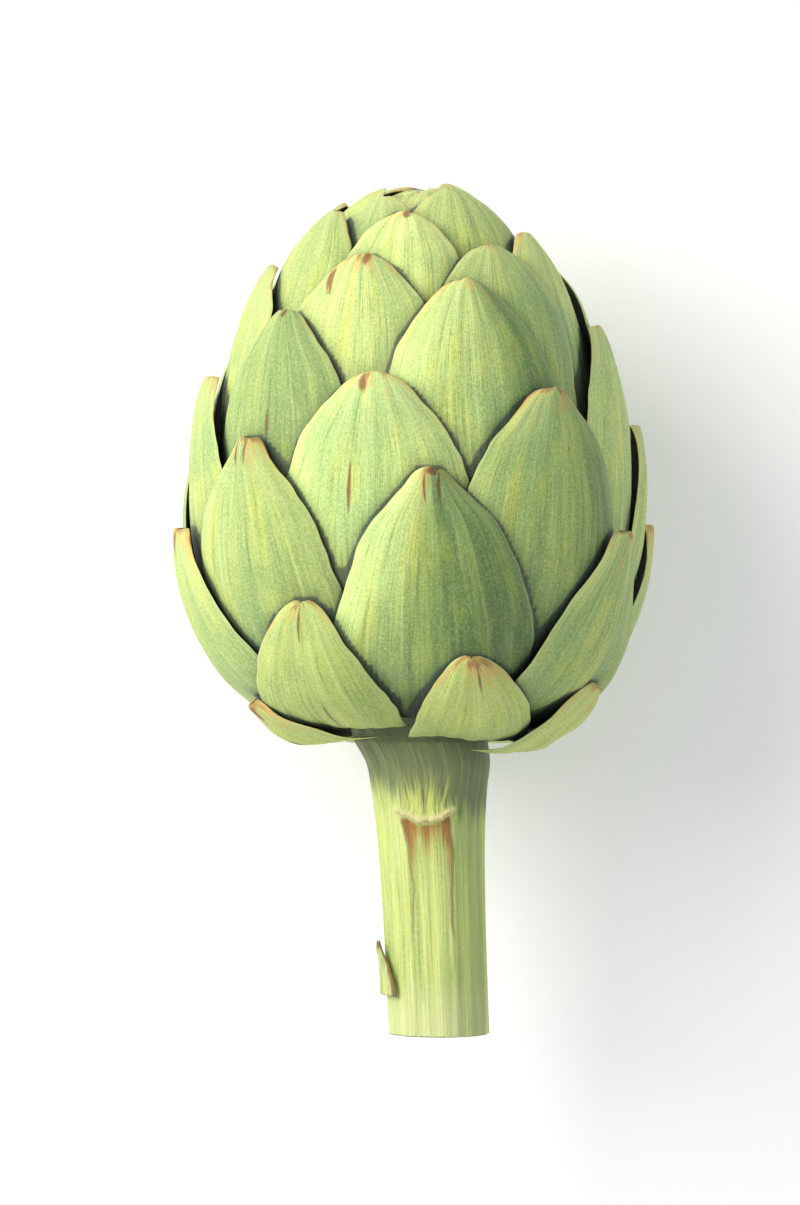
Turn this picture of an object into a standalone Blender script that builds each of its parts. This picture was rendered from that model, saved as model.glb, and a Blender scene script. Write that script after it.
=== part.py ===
"""A globe artichoke cut with a short stem, lying on its side.

The head is a heart and an inner bud wrapped in rows of bracts. Each bract is laid over the ones
inside it, from the crown down to the stem, so that the head thickens as a real one does.
Everything is worked out standing on the stem, with the front towards -Y, and then an empty lays the
artichoke down: front upwards, crown towards +Y, and its flattened underside at z = 0.
"""

import math

import bmesh
import bpy
import numpy as np
from mathutils import Euler

MM = 0.001

# Driving dimensions, in millimetres. Heights are along the stem, above the foot of the head.
CORE_FOOT = -1.0  # lowest point of the heart, inside the top of the stem
CORE_WIDEST = 47.0  # height at which the heart and inner bud are widest
CORE_TOP = 120.0  # top of the inner bud
CORE_RADIUS = 36.0
CORE_FULLNESS = (0.8, 0.62)  # exponents of the core's outline, below its widest height and above it
HEART_RIM = 28.0  # height of the heart's rim, where the inner bud sits
STEM_LENGTH = 62.5
STEM_RADIUS = 10.6
STEM_FLARE = 3.4  # how much wider the stem is where it meets the head
STEM_FLARE_LENGTH = 14.0
STEM_OFFSET = (2.2, 4.8)  # sideways place of the stem's axis, at the head and at the cut
GAP = 0.4  # between one bract and the next

# How the artichoke lies: the crown dips by LIE_PITCH degrees, and the underside is pressed flat.
LIE_PITCH = 3.0
PRESS = 1.6

# Rows of bracts from the stem to the crown. "root" is the distance over the heart's underside from
# its centre to where the row is attached. "tips" are the azimuth and height of each tip, where
# azimuth 0 is the front and +90 is towards +X. "behind" spreads a number of further tips evenly
# over the rest of the row, at a mean height. "point" is 0 for a round tip and 1 for a pointed one,
# "root_width" is the width at the root as a share of the greatest width, and "lean" is how many
# degrees further round its root is than its tip.
ROWS = (
    {"name": "basal_bract", "colour": (196, 212, 118), "root": 17.6, "width": 26, "thickness": 1.9,
     "bulge": 0.4, "lift": 1.2, "point": 0.0, "root_width": 0.75,
     "tips": ((-64, 9), (-29, 31), (14, 19), (68, 13)), "behind": (2, 22)},
    {"name": "lower_bract", "colour": (160, 184, 106), "root": 20.0, "width": 43, "thickness": 2.6,
     "bulge": 1.2, "lift": 2.4, "point": 0.65, "root_width": 0.55,
     "tips": ((-79, 47), (3, 59), (61, 46), (105, 48), (142, 50), (180, 64), (219, 52)), "behind": (0, 0)},
    {"name": "outer_bract", "colour": (158, 180, 108), "root": 25.0, "width": 42, "thickness": 2.4,
     "bulge": 1.2, "lift": 2.2, "point": 0.6, "root_width": 0.55,
     "tips": ((-83, 80), (-46, 66), (-11, 79), (36, 76), (102, 70), (160, 78), (201, 76), (250, 66)),
     "behind": (0, 0)},
    {"name": "middle_bract", "colour": (164, 186, 110), "root": 30.0, "width": 40, "thickness": 2.2,
     "bulge": 1.1, "lift": 1.7, "point": 0.6, "root_width": 0.55,
     "tips": ((-112, 90), (-42, 93), (15, 99), (80, 91)), "behind": (3, 94)},
    {"name": "upper_bract", "colour": (172, 194, 114), "root": 35.0, "width": 36, "thickness": 2.0,
     "bulge": 1.0, "lift": 1.2, "point": 0.5, "root_width": 0.55,
     "tips": ((-76, 104), (-19, 105), (30, 107), (62, 111)), "behind": (4, 108)},
    {"name": "inner_bract", "colour": (182, 203, 120), "root": 40.0, "width": 27, "thickness": 1.6,
     "bulge": 0.8, "lift": 1.0, "point": 0.4, "root_width": 0.55,
     "tips": ((-50, 116), (-24, 119), (-5, 115), (26, 121), (66, 123)), "behind": (4, 117)},
    {"name": "crown_bract", "colour": (190, 208, 126), "root": 50.0, "width": 22, "thickness": 1.1,
     "bulge": 0.5, "lift": 0.4, "point": 0.0, "root_width": 0.55,
     "tips": ((20, 122), (150, 124), (-140, 124), (-64, 122)), "behind": (0, 0)},
)
# Bracts that differ from the rest of their row. The artichoke lies on lower_bract_6.
EXCEPTIONS = {
    "basal_bract_1": {"lift": 1.6, "bulge": 3.6},
    "basal_bract_2": {"root": 20.5, "width": 32, "lean": -9},
    "basal_bract_3": {"width": 27, "lean": 16},
    "basal_bract_4": {"lift": 0.8},
    "lower_bract_2": {"lean": 5},
    "lower_bract_3": {"width": 37, "point": 0.3},
    "lower_bract_6": {"lift": 0.2, "bulge": 0},
    "outer_bract_3": {"point": 0.2},
    "outer_bract_4": {"width": 44, "point": 0.3},
    "middle_bract_2": {"point": 0.4},
    "middle_bract_3": {"point": 0.3, "lean": 6},
    "upper_bract_2": {"point": 0.15},
    "upper_bract_3": {"point": 0.1},
    "upper_bract_4": {"point": 0.2},
    "inner_bract_1": {"point": 0.2},
    "inner_bract_3": {"point": 0.15},
    "inner_bract_4": {"width": 33, "point": 0.0, "lift": 1.8},
    "inner_bract_5": {"point": 0.1, "lift": 1.8},
}
BEHIND_STAGGER = 2.0  # tips behind alternate this far above and below their mean height

ROW_SPACING = 9.0  # between the points along a bract
END_SPACING = 3.0  # but this far from its root and its tip to the next
COLUMN_SPACING = 5.5  # between the points across it
TIP_LENGTH = 0.75  # length over which a bract narrows to its tip, as a share of its width
TIP_BLUNTNESS = 2.4  # half the width of the very tip
THICKNESS_SHARES = (0.35, 1.0, 0.5)  # at the root, at a third of the length and at the tip
MARGIN_THICKNESS = 0.5
TURN_STEPS = 32  # points round the stem and the inner pieces

# The cover map: how far the bracts laid so far stand out from the core.
MAP_STEP = 1.0  # along the core's outline
MAP_COLUMNS = 240  # round the core
BRIDGING = 5.0  # how far a covering bract spans across a step below it
BRIDGED_FULLY = 80.0  # distance along the outline from where it does so in full
BRIDGED_AT_ROOTS = 0.2  # share of BRIDGING near the centre
CLEARING_ROUNDS = 12
SAMPLES = 9  # divisions of a triangle's side when it is compared with the cover map

OTHER_COLOURS = {
    "stem_and_heart": (176, 196, 112),
    "inner_bud": (218, 222, 150),
    "leaf_stub": (160, 172, 104),
}


# ---- The core's outline, and places measured from it ----

def smooth_rows(values, passes=1):
    """Values averaged with their neighbours along the outline, ends kept in place."""
    for _ in range(passes):
        padded = np.concatenate([values[:1], values, values[-1:]])
        values = (padded[:-2] + 2 * padded[1:-1] + padded[2:]) / 4
    return values


def core_outline():
    """Radius, height and outward normal along the core, at even steps from its foot to its top.

    Below the widest height the radius follows R (1 - x^2)^f, and above it R (1 - x^2.3)^f, where x
    runs from 0 at the widest height to 1 at the foot or the top, and f is the fullness.
    """
    turn = np.linspace(0, math.pi / 2, 400)
    x_below = np.cos(turn)
    x_above = np.sin(turn[1:])
    height = np.concatenate([CORE_WIDEST - (CORE_WIDEST - CORE_FOOT) * x_below,
                             CORE_WIDEST + (CORE_TOP - CORE_WIDEST) * x_above])
    radius = CORE_RADIUS * np.concatenate([(1 - x_below**2) ** CORE_FULLNESS[0],
                                           np.clip(1 - x_above**2.3, 0, 1) ** CORE_FULLNESS[1]])
    along = np.concatenate([[0], np.cumsum(np.hypot(np.diff(radius), np.diff(height)))])
    even = np.arange(0, along[-1], MAP_STEP)
    radius = np.interp(even, along, radius)
    height = np.interp(even, along, height)
    d_radius = np.gradient(smooth_rows(radius, 3))
    d_height = np.gradient(smooth_rows(height, 3))
    size = np.hypot(d_radius, d_height)
    return radius, height, d_height / size, -d_radius / size


CORE_R, CORE_H, NORMAL_R, NORMAL_H = core_outline()
OUTLINE = np.arange(len(CORE_R)) * MAP_STEP
MAP_ANGLE = 2 * math.pi / MAP_COLUMNS


def on_outline(values, along):
    return np.interp(along, OUTLINE, values)


def place(along, azimuth, out):
    """Points at a distance along the core's outline, an azimuth, and a distance out from the core."""
    radius = on_outline(CORE_R, along) + out * on_outline(NORMAL_R, along)
    height = on_outline(CORE_H, along) + out * on_outline(NORMAL_H, along)
    return np.stack([radius * np.sin(azimuth), -radius * np.cos(azimuth), height], axis=-1)


def locate(points, along):
    """The reverse of place, from a guess of the distance along: each step slides it to the foot of
    the normal through the point."""
    azimuth = np.arctan2(points[..., 0], -points[..., 1])
    radius = np.hypot(points[..., 0], points[..., 1])
    for _ in range(4):
        off_r = radius - on_outline(CORE_R, along)
        off_h = points[..., 2] - on_outline(CORE_H, along)
        normal_r, normal_h = on_outline(NORMAL_R, along), on_outline(NORMAL_H, along)
        out = off_r * normal_r + off_h * normal_h
        slide = off_h * normal_r - off_r * normal_h
        along = np.clip(along + 0.8 * slide, 0, OUTLINE[-1])
    return along, azimuth, out


def map_index(along, azimuth):
    """The nearest point of the cover map."""
    row = np.clip(np.round(along / MAP_STEP), 0, len(OUTLINE) - 1).astype(int)
    return row, np.round(azimuth / MAP_ANGLE).astype(int) % MAP_COLUMNS


def shifted(cover, along, around):
    """The cover map moved by a distance along the core's outline and another round the core."""
    rows = np.round(np.broadcast_to(along / MAP_STEP, OUTLINE.shape)).astype(int)
    i = np.clip(np.arange(len(OUTLINE)) + rows, 0, len(OUTLINE) - 1)[:, None]
    columns = np.round(around / (np.maximum(CORE_R, 3) * MAP_ANGLE)).astype(int)
    return cover[i, (np.arange(MAP_COLUMNS) + columns[:, None]) % MAP_COLUMNS]


def bridged(cover):
    """The highest cover within reach each way, averaged over a shorter reach: a smooth surface that
    the cover hardly rises above. The reach is BRIDGING, and less near the roots."""
    reach = BRIDGING * np.clip(OUTLINE / BRIDGED_FULLY, BRIDGED_AT_ROOTS, 1)
    shares = np.linspace(-1, 1, 11)
    high = np.max([shifted(cover, share * reach, 0) for share in shares], axis=0)
    high = np.max([shifted(high, 0, share * reach) for share in shares], axis=0)
    for _ in range(2):
        high = np.mean([shifted(high, share * reach, 0) for share in shares[2:-2]], axis=0)
        high = np.mean([shifted(high, 0, share * reach) for share in shares[2:-2]], axis=0)
    return high


# ---- Bracts ----

def bract_list():
    """Every bract of every row, those nearest the crown first, because they lie innermost."""
    bracts = []
    for row in ROWS:
        tips = list(row["tips"])
        count, mean = row["behind"]
        last = max(azimuth for azimuth, _ in tips)
        opening = min(azimuth for azimuth, _ in tips) + 360 - last
        for i in range(count):
            stagger = BEHIND_STAGGER if i % 2 else -BEHIND_STAGGER
            tips.append((last + opening * (i + 1) / (count + 1), mean + stagger))
        for i, (azimuth, height) in enumerate(tips):
            name = f"{row['name']}_{i + 1}"
            bracts.append({"lean": 0, **row, "name": name, "azimuth": math.radians(azimuth),
                           "height": height, **EXCEPTIONS.get(name, {})})
    return sorted(bracts, key=lambda bract: -bract["height"])


def tip_place(bract, below):
    """How far along the outline the bract ends, so that its tip comes to its own height."""
    end = np.interp(bract["height"], CORE_H, OUTLINE)
    for _ in range(8):
        depth = below[map_index(end, bract["azimuth"])] + GAP + bract["lift"] + MARGIN_THICKNESS
        end = np.interp(bract["height"], CORE_H + depth * NORMAL_H, OUTLINE)
    return end


def half_width(bract, from_tip, length):
    """Half the bract's width: a round or pointed tip, then a slow taper to the root.

    With x the distance from the tip as a share of the tip's length, a round tip follows
    sqrt(1 - (1 - x)^2) and a pointed one 1 - (1 - x)^1.9.
    """
    tip_length = bract["width"] * TIP_LENGTH
    x = np.clip(from_tip / tip_length, 0, 1)
    round_tip = np.sqrt(1 - (1 - x) ** 2)
    pointed_tip = 1 - (1 - x) ** 1.9
    shape = bract["point"] * pointed_tip + (1 - bract["point"]) * round_tip
    taper = np.clip((from_tip - tip_length) / max(length - tip_length, 1), 0, 1) ** 1.5
    width = bract["width"] / 2 * shape * (1 - (1 - bract["root_width"]) * taper)
    return np.maximum(width, TIP_BLUNTNESS)


def sheet(rows, columns):
    """A flat grid of triangles, extruded into a closed sheet: its mesh, the row and column of each
    vertex, which vertices are on the outer face, and the triangles of one face."""
    mesh = bmesh.new()
    bmesh.ops.create_grid(mesh, x_segments=columns - 1, y_segments=rows - 1, size=1)
    bmesh.ops.triangulate(mesh, faces=mesh.faces[:], quad_method="FIXED")
    one_face = np.array([[vertex.index for vertex in face.verts] for face in mesh.faces])
    made = bmesh.ops.extrude_face_region(mesh, geom=mesh.faces[:], use_keep_orig=True)
    raised = {item for item in made["geom"] if isinstance(item, bmesh.types.BMVert)}
    outer = np.array([vertex in raised for vertex in mesh.verts])
    flat = positions(mesh)
    row = np.round((flat[:, 1] + 1) / 2 * (rows - 1)).astype(int)
    column = np.round((flat[:, 0] + 1) / 2 * (columns - 1)).astype(int)
    return mesh, row, column, outer, one_face


def triangle_samples():
    """Shares of a triangle's three corners, evenly over it."""
    shares = [(i, j, SAMPLES - i - j) for i in range(SAMPLES + 1) for j in range(SAMPLES + 1 - i)]
    return np.array(shares) / SAMPLES


SHARES = triangle_samples()


def over_face(values, triangles):
    """Values at the corners of triangles, spread evenly over each of them."""
    return np.einsum("sc,tc...->ts...", SHARES, values[triangles])


def lay_bract(bract, cover):
    """The bract's mesh, laid over the cover of the bracts inside it, and the cover with it added.

    Across its width the bract keeps an arch of its own, bulge (0.5 - v^2) above the mean of what is
    below it, and rests on the cover where that is higher. Towards the tip it lifts away by
    lift u^5 (1 - 0.6 v^2), so that the margins stay nearer the head than the middle.
    """
    below = bridged(cover)
    end = tip_place(bract, below)
    length = end - bract["root"]
    rows = max(round(length / ROW_SPACING), 2) + 3
    columns = 2 * max(round(bract["width"] / COLUMN_SPACING / 2), 2) + 1
    mesh, row, column, outer, triangles = sheet(rows, columns)
    u = np.linspace(END_SPACING / length, 1 - END_SPACING / length, rows - 2)
    u = np.concatenate([[0], u, [1]])[:, None]
    v = np.linspace(-1, 1, columns)[None, :]
    along = bract["root"] + length * u
    middle = bract["azimuth"] + math.radians(bract["lean"]) * (1 - u)
    depth = below[map_index(along, middle)]
    radius = on_outline(CORE_R, along) + depth * on_outline(NORMAL_R, along)
    azimuth = middle + v * half_width(bract, end - along, length) / np.maximum(radius, 5)
    along = np.broadcast_to(along, azimuth.shape)
    rest = below[map_index(along, azimuth)]
    level = smooth_rows(rest.mean(1, keepdims=True))
    arch = level + bract["bulge"] * (0.5 - v**2) * np.sin(math.pi * np.clip(u, 0, 0.85))
    softness = 0.25
    inner = np.logaddexp(rest / softness, arch / softness) * softness
    inner = inner + GAP + bract["lift"] * u**5 * (1 - 0.6 * v**2)

    near = np.max([shifted(cover, i, j) for i in (-1, 0, 1) for j in (-1, 0, 1)], axis=0)
    along_inside, azimuth_inside = along[row, column][~outer], azimuth[row, column][~outer]
    height = inner[row, column][~outer]
    for _ in range(CLEARING_ROUNDS):
        points = over_face(place(along_inside, azimuth_inside, height), triangles)
        found = locate(points, over_face(along_inside, triangles))
        short = np.clip(near[map_index(found[0], found[1])] + GAP - found[2], 0, None)
        raised = (short[..., None] * SHARES / (SHARES**2).sum(1, keepdims=True)).max(1)
        change = np.zeros(len(height))
        np.maximum.at(change, triangles, raised)
        height = height + change
    inner[row[~outer], column[~outer]] = height

    fleshy = bract["thickness"] * np.interp(u, (0, 0.3, 1), THICKNESS_SHARES)
    thickness = MARGIN_THICKNESS + (fleshy - MARGIN_THICKNESS * 0.5) * (1 - v**2) ** 0.8
    out = np.where(outer, (inner + thickness)[row, column], inner[row, column])
    points = place(along[row, column], azimuth[row, column], out)
    move_to(mesh, points)

    top = over_face(points[outer], triangles)
    found = locate(top, over_face(along[row, column][outer], triangles))
    np.maximum.at(cover, map_index(found[0], found[1]), found[2])
    return mesh


# ---- Turning the worked-out points into Blender objects ----

def positions(mesh):
    return np.array([vertex.co[:] for vertex in mesh.verts])


def move_to(mesh, points):
    for vertex, point in zip(mesh.verts, points):
        vertex.co = point


def turned_solid(profile):
    """A solid of revolution about the stem's axis, from (radius, height) points pole to pole."""
    mesh = bmesh.new()
    points = [mesh.verts.new((radius, 0, height)) for radius, height in profile]
    edges = [mesh.edges.new(pair) for pair in zip(points, points[1:])]
    bmesh.ops.spin(mesh, geom=points + edges, cent=(0, 0, 0), axis=(0, 0, 1),
                   angle=2 * math.pi, steps=TURN_STEPS)
    bmesh.ops.remove_doubles(mesh, verts=mesh.verts[:], dist=1e-4)
    return mesh


# ---- The stem with the heart, the inner bud and the leaf stub ----

def core_points(low, high, count):
    """(radius, height) points on the core's outline between two heights."""
    heights = np.linspace(low, high, count)
    return list(zip(on_outline(CORE_R, np.interp(heights, CORE_H, OUTLINE)), heights))


def stem_lean(height):
    """How far the stem's axis is to the side at a height."""
    down = np.clip(-height / STEM_LENGTH, 0, 1)
    return STEM_OFFSET[0] + (STEM_OFFSET[1] - STEM_OFFSET[0]) * down


def stem_and_heart():
    """The stem, cut square, widening into the heart. The stem is fluted and leans to one side."""
    levels = np.linspace(-STEM_LENGTH, CORE_FOOT + 2, 14)
    stem = [(STEM_RADIUS + STEM_FLARE * math.exp(level / STEM_FLARE_LENGTH), level) for level in levels]
    under = [point for point in core_points(CORE_FOOT + 1, HEART_RIM, 12) if point[0] > stem[-1][0] + 1]
    dish = [(26, HEART_RIM + 1.5), (16, HEART_RIM - 1.0), (0, HEART_RIM - 2.0)]
    mesh = turned_solid([(0, -STEM_LENGTH), *stem, *under, *dish])
    x, y, z = positions(mesh).T
    azimuth = np.arctan2(x, -y)
    share = np.clip((4 - z) / 7, 0, 1)
    share = share**2 * (3 - 2 * share)
    flutes = 1 + share * (0.022 * np.cos(8 * azimuth) + 0.015 * np.cos(3 * azimuth + 0.8))
    move_to(mesh, np.stack([x * flutes + share * stem_lean(z), y * flutes, z], axis=-1))
    return mesh


def inner_bud():
    """The youngest bracts, folded tightly together in the closed middle of the head."""
    outside = core_points(HEART_RIM + GAP + 0.3, CORE_TOP - 0.2, 16)
    foot = [(26, HEART_RIM + 2.3), (16, HEART_RIM - 0.2), (0, HEART_RIM - 1.2)]
    return turned_solid([(0, CORE_TOP), *reversed(outside), *foot])


def leaf_stub():
    """What is left of a stalk torn off the stem: a thin pointed flap standing away from it."""
    mesh, row, column, outer, _ = sheet(6, 5)
    up, across = row / 5, column / 2 - 1
    azimuth = math.radians(-74) + across * np.radians(26) * (1 - 0.8 * up**1.5)
    height = -STEM_LENGTH * (0.86 - 0.18 * up)
    thickness = 1.1 * (1 - 0.4 * up) * (1 - 0.4 * across**2)
    radius = STEM_RADIUS * 1.05 + 0.2 + 1.0 * up**2 + outer * thickness
    move_to(mesh, np.stack([radius * np.sin(azimuth) + stem_lean(height), -radius * np.cos(azimuth),
                            height], axis=-1))
    return mesh


def add_material(name, colour):
    """A plain leaf finish. The colour is given as 0-255 screen values."""
    material = bpy.data.materials.new(name)
    material.use_nodes = True
    shader = material.node_tree.nodes["Principled BSDF"]
    shader.inputs["Base Color"].default_value = [(c / 255) ** 2.2 for c in colour] + [1]
    shader.inputs["Roughness"].default_value = 0.55
    shader.inputs["Metallic"].default_value = 0
    return material


def lay_down(meshes):
    """Makes the empty that lays the artichoke on its back and centres it in plan, and presses the
    underside of every piece flat at z = 0."""
    turn = Euler((-math.radians(90 + LIE_PITCH), 0, 0))
    matrix = np.array(turn.to_matrix())
    laid = {name: positions(mesh) @ matrix.T for name, mesh in meshes.items()}
    low = np.min([points.min(0) for points in laid.values()], axis=0)
    high = np.max([points.max(0) for points in laid.values()], axis=0)
    shift = np.array([-(low[0] + high[0]) / 2, -(low[1] + high[1]) / 2, -low[2] - PRESS])
    for name, mesh in meshes.items():
        points = laid[name] + shift
        points[:, 2] = np.maximum(points[:, 2], 0)
        move_to(mesh, (points - shift) @ matrix)
    empty = bpy.data.objects.new("artichoke", None)
    empty.rotation_euler = turn
    empty.location = shift * MM
    bpy.context.scene.collection.objects.link(empty)
    return empty


def add_object(name, mesh, material, azimuth, parent):
    """An object from a mesh worked out in place: its own axes are turned to its azimuth."""
    turn = Euler((0, 0, azimuth))
    bmesh.ops.transform(mesh, matrix=turn.to_matrix().inverted().to_4x4(), verts=mesh.verts[:])
    bmesh.ops.scale(mesh, vec=(MM, MM, MM), verts=mesh.verts[:])
    bmesh.ops.recalc_face_normals(mesh, faces=mesh.faces[:])
    data = bpy.data.meshes.new(name)
    mesh.to_mesh(data)
    mesh.free()
    data.materials.append(material)
    data.shade_smooth()
    made = bpy.data.objects.new(name, data)
    made.rotation_euler = turn
    made.parent = parent
    bpy.context.scene.collection.objects.link(made)


def main():
    for old in list(bpy.data.objects):
        bpy.data.objects.remove(old)
    meshes = {"stem_and_heart": stem_and_heart(), "inner_bud": inner_bud(), "leaf_stub": leaf_stub()}
    materials = {name: add_material(name, colour) for name, colour in OTHER_COLOURS.items()}
    azimuths = {}
    cover = np.zeros((len(OUTLINE), MAP_COLUMNS))
    row_materials = {row["name"]: add_material(row["name"], row["colour"]) for row in ROWS}
    for bract in bract_list():
        name = bract["name"]
        meshes[name] = lay_bract(bract, cover)
        materials[name] = row_materials[name.rsplit("_", 1)[0]]
        azimuths[name] = bract["azimuth"]
    artichoke = lay_down(meshes)
    for name, mesh in meshes.items():
        add_object(name, mesh, materials[name], azimuths.get(name, 0), artichoke)


main()
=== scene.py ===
# A globe artichoke lying on a pale table: fine bracts, stem and leaf stub over the frame's solids.
import math
import bpy
import numpy as np
from mathutils import Matrix


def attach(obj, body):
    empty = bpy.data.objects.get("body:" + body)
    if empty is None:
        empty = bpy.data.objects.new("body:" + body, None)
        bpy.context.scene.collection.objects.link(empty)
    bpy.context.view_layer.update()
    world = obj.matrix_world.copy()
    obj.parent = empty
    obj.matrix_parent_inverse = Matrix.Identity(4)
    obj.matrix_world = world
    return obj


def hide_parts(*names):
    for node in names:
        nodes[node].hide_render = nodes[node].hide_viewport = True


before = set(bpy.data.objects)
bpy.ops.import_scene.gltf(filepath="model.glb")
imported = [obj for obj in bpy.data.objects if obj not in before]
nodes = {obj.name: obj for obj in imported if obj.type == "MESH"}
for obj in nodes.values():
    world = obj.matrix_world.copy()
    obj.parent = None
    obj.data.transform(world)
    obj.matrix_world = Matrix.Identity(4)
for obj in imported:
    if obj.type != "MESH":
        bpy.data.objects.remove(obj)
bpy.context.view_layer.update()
millimetre = 0.001
print("frame loaded:", len(nodes), "solids")


# The head is worked out standing, in millimetres: x to the right, y to the front, z up along its axis.
head = {
    "foot": -1.0,  # height of the core's lowest point
    "widest": 47.0,  # height at which the core is widest
    "top": 120.0,  # height of the inner bud's top
    "radius": 36.0,  # greatest radius of the core
    "fullBelow": 0.8,  # exponents of the core's outline, below its widest height and above it
    "fullAbove": 0.62,
    "shoulder": 2.3,  # how long the outline stays full above its widest height
    "samples": 400,  # on each of the two stretches, before the outline is sampled every millimetre
    "dip": 3.0,  # degrees by which the crown points down as it lies
}

lie = math.radians(90 + head["dip"])
upward = np.array([0, math.sin(lie), math.cos(lie)])
forward = np.array([0, -math.cos(lie), math.sin(lie)])
sideways = np.array([1.0, 0, 0])


def solidPoints(node):
    # the solid's own corners, each once, as it lies, in millimetres
    mesh = nodes[node].data
    points = np.zeros(len(mesh.vertices) * 3, np.float32)
    mesh.vertices.foreach_get("co", points)
    return np.unique(np.round(points.reshape(-1, 3) / millimetre, 3).astype(float), axis=0)


budPoints = solidPoints("inner_bud")
foot = budPoints[np.argmax(budPoints @ upward)] - upward * head["top"]  # foot of the head's axis, as it lies


def standing(points):
    # where the points are in the head's own coordinates
    return (points - foot) @ np.stack([sideways, forward, upward], axis=-1)


def lying(points):
    # the reverse of standing; what touches the table is pressed flat there
    laid = points[..., :1] * sideways + points[..., 1:2] * forward + points[..., 2:3] * upward + foot
    laid[..., 2] = np.maximum(laid[..., 2], 0)
    return laid * millimetre


def coreOutline():
    # With x running from 0 at the widest height to 1 at the foot or the top, the core's radius is its
    # greatest radius times (1 minus x squared) to the power fullBelow, or above the widest height times
    # (1 minus x to the power shoulder) to the power fullAbove. Sampled every millimetre, with its outward
    # normal.
    turn = np.linspace(0, math.pi / 2, head["samples"])
    below, above = np.cos(turn), np.sin(turn[1:])
    height = np.concatenate([head["widest"] - (head["widest"] - head["foot"]) * below,
                             head["widest"] + (head["top"] - head["widest"]) * above])
    lowerShare = (1 - below**2) ** head["fullBelow"]
    upperShare = np.clip(1 - above ** head["shoulder"], 0, 1) ** head["fullAbove"]
    radius = head["radius"] * np.concatenate([lowerShare, upperShare])
    length = np.concatenate([[0], np.cumsum(np.hypot(np.diff(radius), np.diff(height)))])
    along = np.arange(0, length[-1], 1.0)
    radius, height = np.interp(along, length, radius), np.interp(along, length, height)
    slopes = []
    for values in (radius, height):
        for repeat in range(3):  # smoothed a little, so that the normals turn evenly
            padded = np.concatenate([values[:1], values, values[-1:]])
            values = (padded[:-2] + 2 * padded[1:-1] + padded[2:]) / 4
        slopes.append(np.gradient(values))
    size = np.hypot(*slopes)
    return {"along": along, "radius": radius, "height": height,
            "outR": slopes[1] / size, "outH": -slopes[0] / size}


core = coreOutline()


def onCore(quantity, along):
    # a quantity of the outline at distances along it
    return np.interp(along, core["along"], core[quantity])


def placed(along, azimuth, out):
    # Standing points: the outline's point at a distance along it, moved out along its normal, turned by
    # an azimuth.
    radius = onCore("radius", along) + out * onCore("outR", along)
    height = onCore("height", along) + out * onCore("outH", along)
    return np.stack([radius * np.sin(azimuth), radius * np.cos(azimuth), height], axis=-1)


def located(points):
    # The reverse of placed: start at the outline's nearest sample, then slide to the foot of the normal.
    azimuth = np.arctan2(points[:, 0], points[:, 1])
    radius = np.hypot(points[:, 0], points[:, 1])
    away = np.hypot(radius[:, None] - core["radius"], points[:, 2, None] - core["height"])
    along = core["along"][away.argmin(1)]
    for repeat in range(20):
        offR, offH = radius - onCore("radius", along), points[:, 2] - onCore("height", along)
        outR, outH = onCore("outR", along), onCore("outH", along)
        along = np.clip(along + 0.6 * (offH * outR - offR * outH), 0, core["along"][-1])
    return along, azimuth, offR * outR + offH * outH


def wrapped(angle):
    # the same angle between minus and plus half a turn
    return (angle + math.pi) % (2 * math.pi) - math.pi


def splined(values, at, wanted):
    # Cubic Hermite curve through rows of values, with slopes from the neighbours on both sides.
    slopes = np.gradient(values, at, axis=0)
    before = np.clip(np.searchsorted(at, wanted, side="right") - 1, 0, len(at) - 2)
    after = before + 1
    shape = (-1,) + (1,) * (values.ndim - 1)
    step = (at[after] - at[before]).reshape(shape)
    t = (wanted - at[before]).reshape(shape) / step
    return ((2 * t**3 - 3 * t**2 + 1) * values[before] + (t**3 - 2 * t**2 + t) * step * slopes[before]
            + (3 * t**2 - 2 * t**3) * values[after] + (t**3 - t**2) * step * slopes[after])


def eased(value, low, high):
    # 0 below low, 1 above high, and an s-curve between
    t = np.clip((value - low) / (high - low), 0, 1)
    return t * t * (3 - 2 * t)


def newPiece(name, points, faces):
    # a smooth-shaded object at the origin, from its points and faces
    mesh = bpy.data.meshes.new(name)
    mesh.from_pydata(points.reshape(-1, 3), [], faces)
    mesh.polygons.foreach_set("use_smooth", np.full(len(mesh.polygons), True))
    mesh.update()
    piece = bpy.data.objects.new(name, mesh)
    bpy.context.scene.collection.objects.link(piece)
    return piece


def setAttribute(piece, name, values):
    # one number, or three, at each point of the mesh
    kind = "FLOAT" if values.ndim == 1 else "FLOAT_VECTOR"
    layer = piece.data.attributes.new(name, kind, "POINT")
    layer.data.foreach_set("value" if values.ndim == 1 else "vector", values.astype(np.float32).ravel())


def closedLeaf(rows, columns):
    # Point numbers of a leaf's outer and inner faces, which share their edge, and the quads over both.
    outer = np.arange(rows * columns).reshape(rows, columns)
    inner = outer.copy()
    inner[1:-1, 1:-1] = rows * columns + np.arange((rows - 2) * (columns - 2)).reshape(rows - 2, columns - 2)
    quads = []
    for grid, flipped in ((outer, False), (inner, True)):
        corners = [grid[:-1, :-1], grid[:-1, 1:], grid[1:, 1:], grid[1:, :-1]]
        quads.append(np.stack(corners[::-1] if flipped else corners, axis=-1).reshape(-1, 4))
    return np.concatenate(quads).tolist()


def bothFaces(outer, inner):
    # values of the outer face, then those of the inner face away from the shared edge
    inside = inner[1:-1, 1:-1]
    return np.concatenate([outer.reshape(-1, *outer.shape[2:]), inside.reshape(-1, *inner.shape[2:])])


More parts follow.
